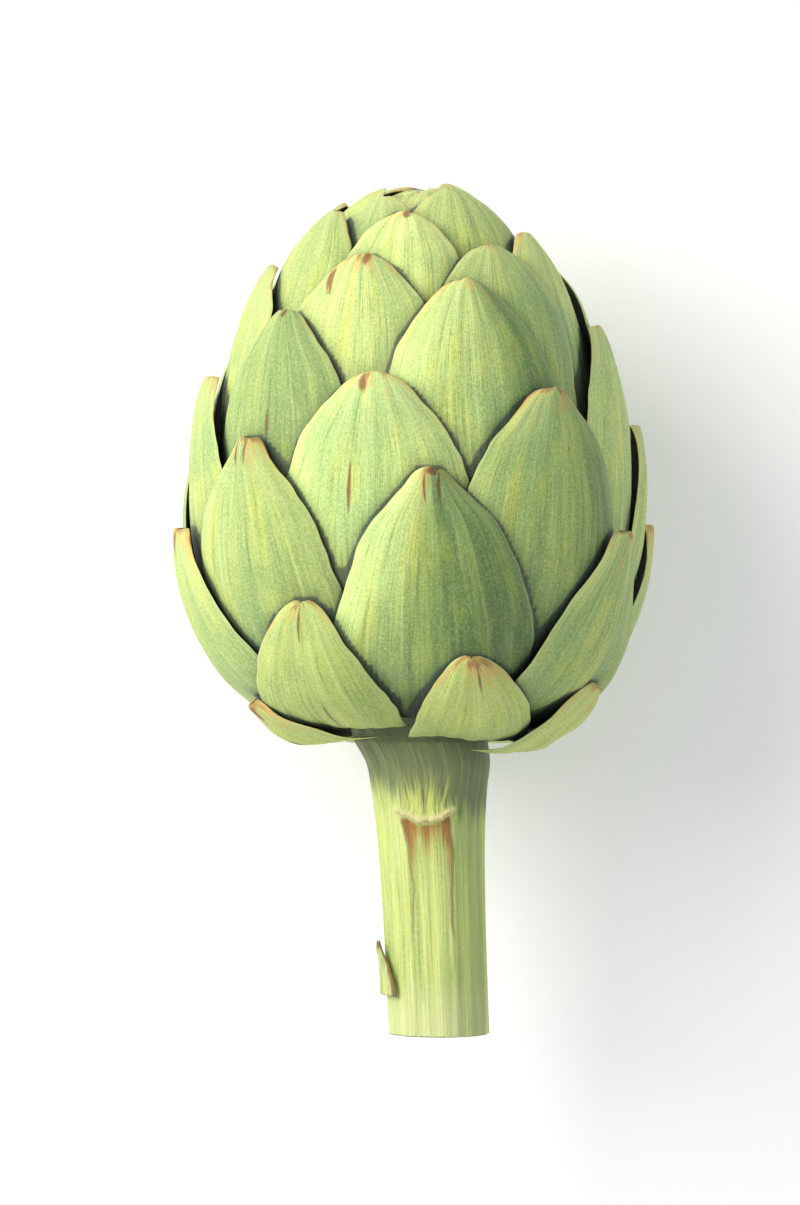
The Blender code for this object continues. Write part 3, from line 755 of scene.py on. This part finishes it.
def markStem(piece, up, azimuth, bottom):
    # Painted shade under the head, painted shade down the right side, paleness near the cut, the cut itself,
    # and each point's place in the stem's pattern, which wraps round it.
    flat = np.zeros((stemShape["sideRows"], stemShape["around"]))
    overStem(piece, "shadeUnderHead", eased(up + 3.5 * np.sin(azimuth), -20, 0) + flat, heart=1)
    shaded = eased(np.sin(azimuth), 0.34, 0.6) * (1 - 0.8 * eased(np.sin(azimuth), 0.93, 0.985))
    overStem(piece, "shadedSide", shaded * eased(np.cos(azimuth), -0.6, 0.2) + flat)
    overStem(piece, "nearCut", eased(up, bottom + 16, bottom + 2) + flat)
    overStem(piece, "cutFace", flat, cut=1, ends=(1, 0))
    place3 = turned(0, 1, azimuth + flat, up / patternLength)
    cutPlace = turned(0, np.array(stemShape["cutRings"])[:, None], azimuth, bottom / patternLength)
    poles = ([0, 0, bottom / patternLength], [0, 0, 0.4])
    overStem(piece, "stemPlace", place3, cutPlace, [0, 0, 0.2], poles)


def markScar(piece, scar, azimuth):
    # The ledge, the rusty stain below it, strongest beside the strip's two edges, the lines down those
    # edges, and a fan of rays above the ledge.
    above, side, half = scar["above"], scar["side"], stemShape["scarHalfWidth"]
    frontal = np.cos(azimuth) > 0.1
    overStem(piece, "lip", scar["lip"])
    leftEdge, rightEdge = np.exp(-(scar["pastLeft"] / 1.5) ** 2), np.exp(-(scar["pastRight"] / 1.2) ** 2)
    beside = 0.6 + 0.4 * np.maximum(leftEdge, rightEdge)
    fade = eased(-above, 0.3, 1.2) * np.exp(np.minimum(above, 0) / (5 + 7 * beside))
    overStem(piece, "scarStain", fade * scar["strip"] * beside)
    leftTrace = np.exp(-(scar["pastLeft"] / 0.5) ** 2) * (0.55 + 0.45 * np.exp(above / 9))
    rightTrace = np.exp(-(scar["pastRight"] / 0.45) ** 2) * 0.75
    ends = eased(-above, 0, 2) * eased(above, -34, -24) * frontal
    overStem(piece, "scarLines", np.maximum(leftTrace, rightTrace) * ends)
    fanned = side / (half * (0.55 + 0.06 * np.maximum(above, 0)))
    across = fanned * eased(above, -1, 3) + side / half * (1 - eased(above, -1, 3))
    fan = eased(above, 0, 1) * eased(above + 3 * np.abs(across), 13, 3) * eased(1.1 - np.abs(across), 0, 0.3)
    fanPlace = np.stack([across, fan * frontal, above / 30], axis=-1)
    overStem(piece, "fan", fanPlace)


stemColours = {
    "dark": (186, 206, 116),
    "light": (216, 230, 132),
    "lightFibre": (238, 243, 168),
    "darkFibre": (138, 164, 88),
    "hair": (128, 150, 84),
    "grain": (240, 244, 196),
    "nearCut": (236, 240, 184),
    "shadedSide": (140, 164, 100),
    "shadeUnderHead": (100, 112, 88),
    "streakUnderHead": (176, 186, 122),
    "lightRay": (224, 228, 122),
    "darkRay": (108, 108, 62),
    "ledge": (232, 224, 162),
    "ledgeTop": (168, 120, 74),
    "rust": (166, 100, 44),
    "darkRust": (112, 88, 34),
    "scarLine": (138, 104, 80),
    "pith": (206, 214, 150),
    "palePith": (232, 234, 190),
}


def stemSkin():
    # Ribbed stalk: light and dark green lines along it, painted shade under the head and down its right
    # side, a tan ledge with a rusty stain below.
    paint = stemColours
    skin = Skin("ribbedStalk", {"Specular IOR Level": 0.35})
    place3 = skin.attribute("stemPlace", "Vector")
    object3 = skin.node("ShaderNodeTexCoord", output="Object")
    broad = skin.noise(place3, 1.0, 3, (3.5, 3.5, 0.7))
    fibres = skin.noise(place3, 1.0, 4, (13, 13, 1.3), 0.6)
    hairs = skin.noise(place3, 1.0, 3, (38, 38, 2.6), 0.65)
    grain = skin.noise(object3, 1500, 2)

    colour = skin.mix(skin.rise(broad, 0.35, 0.65), paint["dark"], paint["light"])
    colour = skin.mix(skin.rise(fibres, 0.5, 0.68) * 0.7, colour, paint["lightFibre"])
    colour = skin.mix(skin.rise(fibres, 0.48, 0.3) * 0.65, colour, paint["darkFibre"])
    colour = skin.mix(skin.rise(hairs, 0.54, 0.72) * 0.5, colour, paint["hair"])
    colour = skin.mix(skin.rise(grain, 0.45, 0.75) * 0.3, colour, paint["grain"])
    colour = skin.mix(skin.attribute("nearCut") * 0.45, colour, paint["nearCut"])
    # painted shade down the stem's right side, with a paler line at its edge
    shaded = skin.attribute("shadedSide") * skin.rise(fibres, 0.3, 0.55) * 0.6
    colour = skin.mix(shaded, colour, paint["shadedSide"])
    # painted shade under the head, with lighter fibre streaks through it
    under = skin.attribute("shadeUnderHead")
    headShade = skin.rise(under + fibres * 0.9 + hairs * 0.9, 1.05, 1.5)
    colour = skin.mix(headShade * 0.8, colour, paint["shadeUnderHead"])
    streaks = skin.rise(under, 0.3, 0.9) * skin.rise(hairs, 0.5, 0.62) * 0.5
    colour = skin.mix(streaks, colour, paint["streakUnderHead"])

    fanPlace = skin.attribute("fan", "Vector")
    fan = skin.parts(fanPlace)[1]
    rays = skin.noise(fanPlace, 1.0, 3, (11, 0, 2.5), 0.65)
    colour = skin.mix(fan * skin.rise(rays, 0.42, 0.56) * 0.95, colour, paint["lightRay"])
    colour = skin.mix(fan * skin.rise(rays, 0.46, 0.36) * 0.75, colour, paint["darkRay"])
    lip, stain, lines = skin.attribute("lip"), skin.attribute("scarStain"), skin.attribute("scarLines")
    colour = skin.mix(skin.rise(lip + hairs * 0.4, 0.4, 0.95) * 0.85, colour, paint["ledge"])
    colour = skin.mix(skin.rise(lip + fibres * 0.8, 1.25, 1.5) * 0.7, colour, paint["ledgeTop"])
    colour = skin.mix(skin.rise(stain + fibres * 0.9, 0.64, 1.0) * 0.85, colour, paint["rust"])
    colour = skin.mix(skin.rise(stain + hairs * 0.9, 1.0, 1.4) * 0.6, colour, paint["darkRust"])
    colour = skin.mix(skin.rise(lines + hairs * 0.5, 0.5, 0.95) * 0.65, colour, paint["scarLine"])

    pith = skin.rise(skin.noise(object3, 900, 3), 0.4, 0.65)
    cutColour = skin.mix(pith, paint["pith"], paint["palePith"])
    colour = skin.mix(skin.rise(skin.attribute("cutFace"), 0.3, 0.7), colour, cutColour)
    normal = skin.bump(fibres * 0.7 + hairs * 0.4 + grain * 0.05, 0.0009, 0.6)
    return skin.finish(Base_Color=colour, Roughness=0.45 + fibres * 0.22, Normal=normal)


bud = {
    "around": 144,
    "rows": 90,
    "foot": 30.0,  # mm up the head's axis
    "folds": 5,
    "foldHeight": 0.6,
    "twist": 0.05,  # radians by which the folds turn in each mm of height
    "dark": (168, 190, 104),
    "light": (214, 224, 136),
    "creaseShade": (96, 110, 74),
}


def fineBud():
    # The closed bud: the core's outline above the heart, with soft folds that twist up to the top. A fold
    # is the size of a sine, and the crease between two of them is where that sine is small.
    rows = bud["rows"]
    low = standing(solidPoints("inner_bud"))[:, 2].min()
    climb = np.sin(np.linspace(0, 1, rows) * math.pi / 2) ** 0.9
    heights = (bud["foot"] + (head["top"] - 0.4 - bud["foot"]) * climb)[:, None]
    radius = np.interp(heights, core["height"], core["radius"])
    azimuth = np.linspace(0, 2 * math.pi, bud["around"], endpoint=False)[None, :]
    wave = np.abs(np.sin(bud["folds"] / 2 * azimuth + heights * bud["twist"]))
    radius = radius + bud["foldHeight"] * (wave**0.7 - 0.6) * np.minimum(radius / 12, 1)
    poles = np.array([[0, 0, low + 0.5], [0, 0, head["top"]]])
    points = np.concatenate([poles, turned(0, radius, azimuth, heights).reshape(-1, 3)])
    piece = newPiece("closed_bud", lying(points), turnedFaces(rows, bud["around"]))
    # painted shade in the creases between the folds
    creaseShade = 1 - np.minimum(wave * 3, 1)
    setAttribute(piece, "creaseShade", np.concatenate([[1.0, 1.0], creaseShade.ravel()]))
    return piece


def budSkin():
    # Pale green with fine fibres, with painted shade in the creases between the folds.
    skin = Skin("foldedBud", {"Specular IOR Level": 0.35})
    object3 = skin.node("ShaderNodeTexCoord", output="Object")
    fibres = skin.noise(object3, 1.0, 4, (700, 90, 700), 0.6)
    colour = skin.mix(skin.rise(fibres, 0.4, 0.62), bud["dark"], bud["light"])
    colour = skin.mix(skin.attribute("creaseShade") * 0.7, colour, bud["creaseShade"])
    normal = skin.bump(fibres, 0.0004, 0.5)
    return skin.finish(Base_Color=colour, Roughness=0.5 + fibres * 0.1, Normal=normal)


stub = {
    "rows": 56,
    "columns": 41,
    "raggedness": 0.7,  # mm by which its top edge wanders
    "buckle": 0.25,  # mm by which it stands in and out
    "dark": (170, 186, 112),
    "light": (214, 222, 146),
    "torn": (134, 96, 66),
}


def fineStub():
    # What is left of a torn stalk leaf, over the solid's own rows and columns: two faces half a thickness
    # each side of a middle surface that buckles a little, thinning to nothing at the sides and the top,
    # where it is ragged.
    draw = np.random.default_rng(11)
    rows, columns = stub["rows"], stub["columns"]
    levels, centres, radii = stemLevels(standing(solidPoints("stem_and_heart")))
    points = standing(solidPoints("leaf_stub"))
    beside = points[:, 0] - np.interp(points[:, 2], levels, centres)
    azimuth, radius = np.arctan2(beside, points[:, 1]), np.hypot(beside, points[:, 1])
    heights, low, high, inner, outer = rowsAndColumns(points[:, 2], azimuth, radius)
    up = np.linspace(heights[0], heights[-1], rows)
    v = np.linspace(-1, 1, columns)
    controls = np.linspace(-1, 1, inner.shape[1])
    inner = splined(splined(inner.T, controls, v).T, heights, up)
    outer = splined(splined(outer.T, controls, v).T, heights, up)
    low, high = splined(low, heights, up)[:, None], splined(high, heights, up)[:, None]
    turn = (low + high) / 2 + (high - low) / 2 * v
    upShare = ((up - up[0]) / (up[-1] - up[0]))[:, None]
    ragged = stub["raggedness"] * wander(draw, v[None, :] * 10, 6) * upShare**3
    ends = np.sqrt(1 - upShare**12) * np.sqrt(np.minimum(upShare / 0.03, 1))
    edge = np.sqrt(1 - np.abs(v[None, :]) ** 10) * ends
    middle, halfThickness = (inner + outer) / 2, (outer - inner) / 2 * edge
    middle = middle + stub["buckle"] * wander(draw, up[:, None] + 0 * v, 9) * upShare
    centre = np.interp(up, levels, centres)[:, None]
    height = up[:, None] + ragged
    outerPoints = turned(centre, middle + halfThickness, turn, height)
    innerPoints = turned(centre, middle - halfThickness, turn, height)
    piece = newPiece("torn_leaf_stub", lying(bothFaces(outerPoints, innerPoints)), closedLeaf(rows, columns))
    torn = np.maximum(eased(upShare, 0.75, 1), eased(v[None, :], 0.62, 0.95)) + np.zeros((rows, columns))
    setAttribute(piece, "torn", bothFaces(torn, torn))
    return piece


def stubSkin():
    # Dry green with fine fibres, brown along the torn top and the right edge.
    skin = Skin("tornLeaf", {"Specular IOR Level": 0.3})
    object3 = skin.node("ShaderNodeTexCoord", output="Object")
    fibres = skin.noise(object3, 1.0, 4, (1500, 160, 1500), 0.6)
    colour = skin.mix(skin.rise(fibres, 0.4, 0.62), stub["dark"], stub["light"])
    colour = skin.mix(skin.rise(skin.attribute("torn") + fibres * 0.5, 0.6, 1.1) * 0.9, colour, stub["torn"])
    normal = skin.bump(fibres, 0.0005, 0.6)
    return skin.finish(Base_Color=colour, Roughness=0.55 + fibres * 0.1, Normal=normal)


for maker, finish, node, slot in ((fineStem, stemSkin, "stem_and_heart", "stem"),
                                  (fineBud, budSkin, "inner_bud", "inner_bud"),
                                  (fineStub, stubSkin, "leaf_stub", "leaf_stub")):
    piece = maker()
    piece.data.materials.append(finish())
    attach(piece, "root")
    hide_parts(node)
    print("made", piece.name, len(piece.data.polygons), "faces")

studio = {
    "reach": 3.0,  # metres each way of the table top
    "tableColours": ((246, 246, 246), (250, 250, 250)),
    "glow": 0.16,  # light that the table top gives off, which keeps it pale in the shade
    "litPoint": (0, 0, 0.05),  # metres; where both lights point
    "keyPlace": (-0.95, 0.6, 0.95),
    "keyPower": 19.0,
    "keySize": 1.0,
    "keyColour": (1.0, 0.97, 0.92),
    "fillPlace": (0.9, -0.5, 0.9),
    "fillPower": 2.0,
    "fillSize": 1.2,
    "fillColour": (0.9, 0.95, 1.0),
    "roomLight": 0.5,
    "roomColour": (0.95, 0.97, 1.0, 1),
    "lens": 150.0,
    "pictureHeight": 0.2603,  # metres that the picture covers from top to bottom, at the head's axis
    "lookAt": (-3.5, 30.8),  # mm to the right of the head's axis, and up it, at the middle of the picture
}


def tableTop():
    # one wide square of nearly white board
    size = studio["reach"]
    corners = np.array([[-size, -size, 0], [size, -size, 0], [size, size, 0], [-size, size, 0]])
    table = newPiece("table_top", corners - [0, 0, 0.0002], [[0, 1, 2, 3]])  # just under the resting bract
    skin = Skin("paleTable", {"Specular IOR Level": 0.2, "Roughness": 0.8, "Emission Color": (1, 1, 1, 1),
                              "Emission Strength": studio["glow"]})
    object3 = skin.node("ShaderNodeTexCoord", output="Object")
    cloudy = skin.noise(object3, 6, 3)
    table.data.materials.append(skin.finish(Base_Color=skin.mix(cloudy, *studio["tableColours"])))


def aimed(holder, place, target):
    # turns a light or camera to look from place to target
    away = np.array(place, float) - np.array(target, float)
    away /= np.linalg.norm(away)
    right = np.cross([0, 1, 0], away)
    right /= np.linalg.norm(right)
    axes = np.stack([right, np.cross(away, right), away, place], axis=1)
    holder.matrix_world = Matrix([*axes.tolist(), [0, 0, 0, 1]])


def addLight(name):
    # a square light with the studio's values for its name
    light = bpy.data.lights.new(name, "AREA")
    light.energy, light.size = studio[name + "Power"], studio[name + "Size"]
    light.color = studio[name + "Colour"]
    holder = bpy.data.objects.new(name, light)
    bpy.context.scene.collection.objects.link(holder)
    aimed(holder, studio[name + "Place"], studio["litPoint"])


def lightRoom():
    # even pale light from all round, and plain screen colours
    room = bpy.data.worlds.new("room")
    room.use_nodes = True
    background = room.node_tree.nodes["Background"].inputs
    background["Color"].default_value = studio["roomColour"]
    background["Strength"].default_value = studio["roomLight"]
    bpy.context.scene.world = room
    bpy.context.scene.view_settings.view_transform = "Standard"


def addCamera():
    # it looks straight at the head's front, from as far as makes the picture pictureHeight high
    camera = bpy.data.objects.new("camera", bpy.data.cameras.new("camera"))
    bpy.context.scene.collection.objects.link(camera)
    bpy.context.scene.camera = camera
    camera.data.lens, camera.data.sensor_width = studio["lens"], 36.0
    camera.data.clip_start, camera.data.clip_end = 0.05, 20
    aside, above = studio["lookAt"]
    target = (foot + sideways * aside + upward * above) * millimetre
    distance = studio["pictureHeight"] * studio["lens"] / camera.data.sensor_width
    aimed(camera, target + forward * distance, target)


tableTop()
addLight("key")
addLight("fill")
lightRoom()
addCamera()
print("scene set")

bpy.context.view_layer.update()
